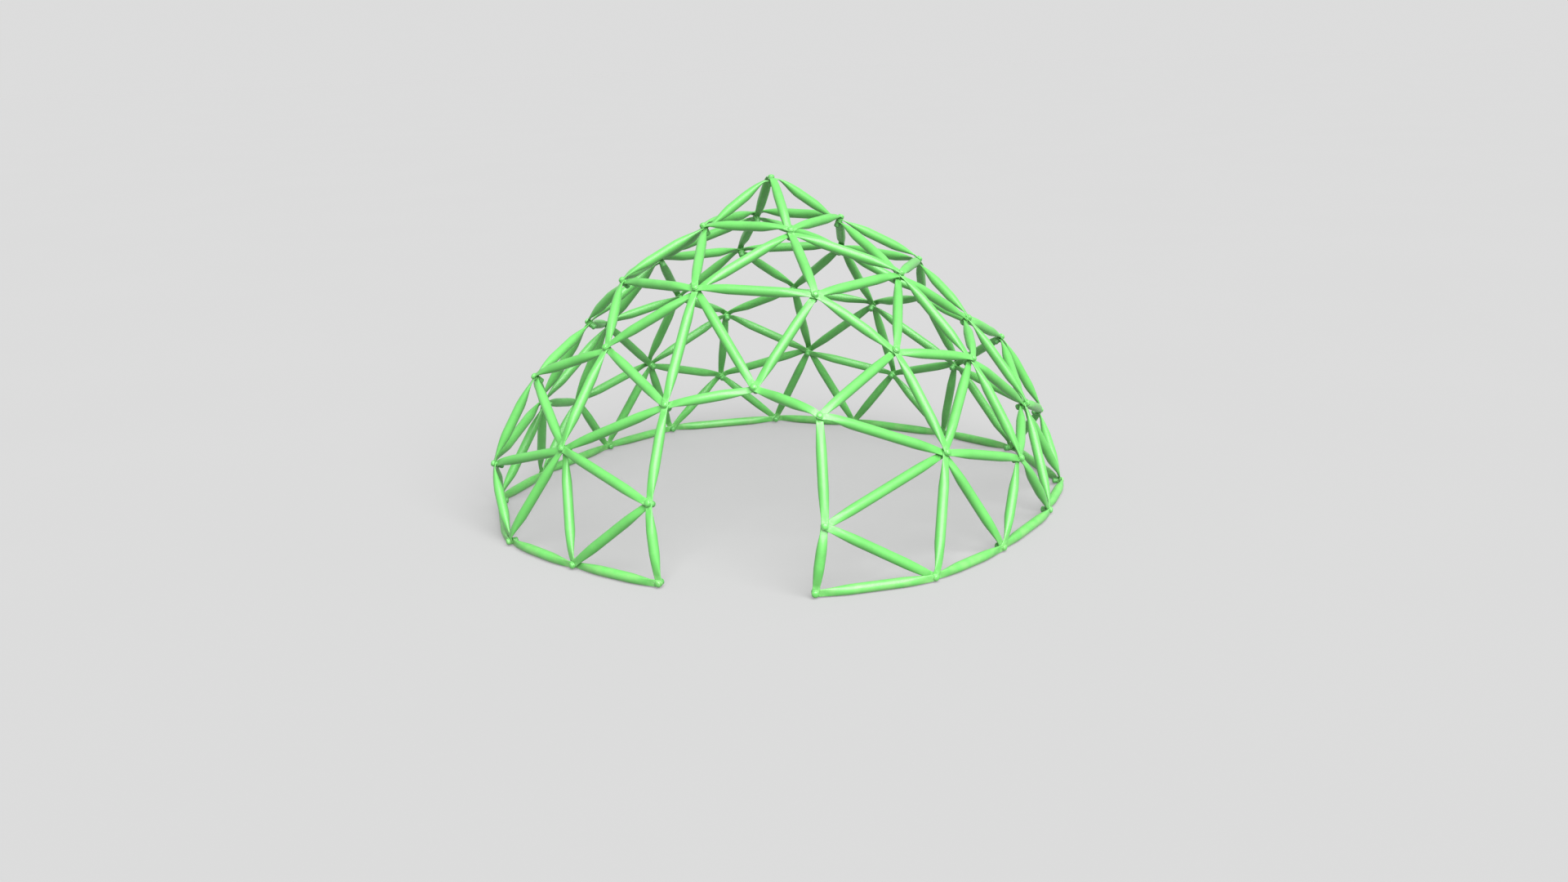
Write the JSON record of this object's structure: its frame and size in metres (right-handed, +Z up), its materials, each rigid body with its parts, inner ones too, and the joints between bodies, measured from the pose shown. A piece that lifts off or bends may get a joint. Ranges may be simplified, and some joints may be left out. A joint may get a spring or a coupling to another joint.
{
  "type": "dome climber",
  "caption": "Geodesic playground climbing dome of bolted steel tubes with flattened ends, with diamond-shaped windows and a squared doorway.",
  "frame": {"origin": "centre of the dome's plan box on the ground, with the base rails resting on z = 0", "axes": "+Z up; the doorway faces -Y; +X to the right of someone looking in at the doorway"},
  "size_m": [2.6328, 2.6076, 1.4917],
  "materials": {
    "tube_green": "smooth bright green powder coat over galvanised steel tube",
    "bolt_green": "bright green painted domed bolt heads and washers",
    "cap_green": "moulded green plastic nut cap",
    "zinc_steel": "zinc-plated hexagon nut, hidden in its cap"
  },
  "bodies": {
    "root": {"apex_strut_1": "tube_green", "apex_strut_2": "tube_green", "apex_strut_3": "tube_green", "apex_strut_4": "tube_green", "base_rail_bay_back": "tube_green", "base_rail_bay_back_left": "tube_green", "base_rail_bay_back_right": "tube_green", "base_rail_bay_front_left": "tube_green", "base_rail_bay_front_right": "tube_green", "base_rail_bay_left": "tube_green", "base_rail_bay_right": "tube_green", "base_rail_kite_1": "tube_green", "base_rail_kite_2": "tube_green", "base_rail_kite_3": "tube_green", "base_rail_kite_4": "tube_green", "base_rail_post_1": "tube_green", "base_rail_post_2": "tube_green", "base_rail_post_3": "tube_green", "base_rail_post_4": "tube_green", "crown_rafter_1": "tube_green", "crown_rafter_2": "tube_green", "crown_rafter_3": "tube_green", "crown_rafter_4": "tube_green", "crown_rail_1": "tube_green", "crown_rail_2": "tube_green", "crown_rail_3": "tube_green", "crown_rail_4": "tube_green", "inner_washers": "bolt_green", "joint_bolts": "bolt_green", "joint_nuts": "zinc_steel", "kite_legs_1": "tube_green", "kite_legs_2": "tube_green", "kite_legs_3": "tube_green", "kite_legs_4": "tube_green", "kite_window_frame_1": "tube_green", "kite_window_frame_2": "tube_green", "kite_window_frame_3": "tube_green", "kite_window_frame_4": "tube_green", "lower_hub_spokes_back": "tube_green", "lower_hub_spokes_back_left": "tube_green", "lower_hub_spokes_back_right": "tube_green", "lower_hub_spokes_front_left": "tube_green", "lower_hub_spokes_front_right": "tube_green", "lower_hub_spokes_left": "tube_green", "lower_hub_spokes_right": "tube_green", "nut_caps": "cap_green", "outer_washers": "bolt_green", "post_braces_1": "tube_green", "post_braces_2": "tube_green", "post_braces_3": "tube_green", "post_braces_4": "tube_green", "post_legs_1": "tube_green", "post_legs_2": "tube_green", "post_legs_3": "tube_green", "post_legs_4": "tube_green", "upper_hub_spokes_1": "tube_green", "upper_hub_spokes_2": "tube_green", "upper_hub_spokes_3": "tube_green", "upper_hub_spokes_4": "tube_green"}
  },
  "joints": []
}
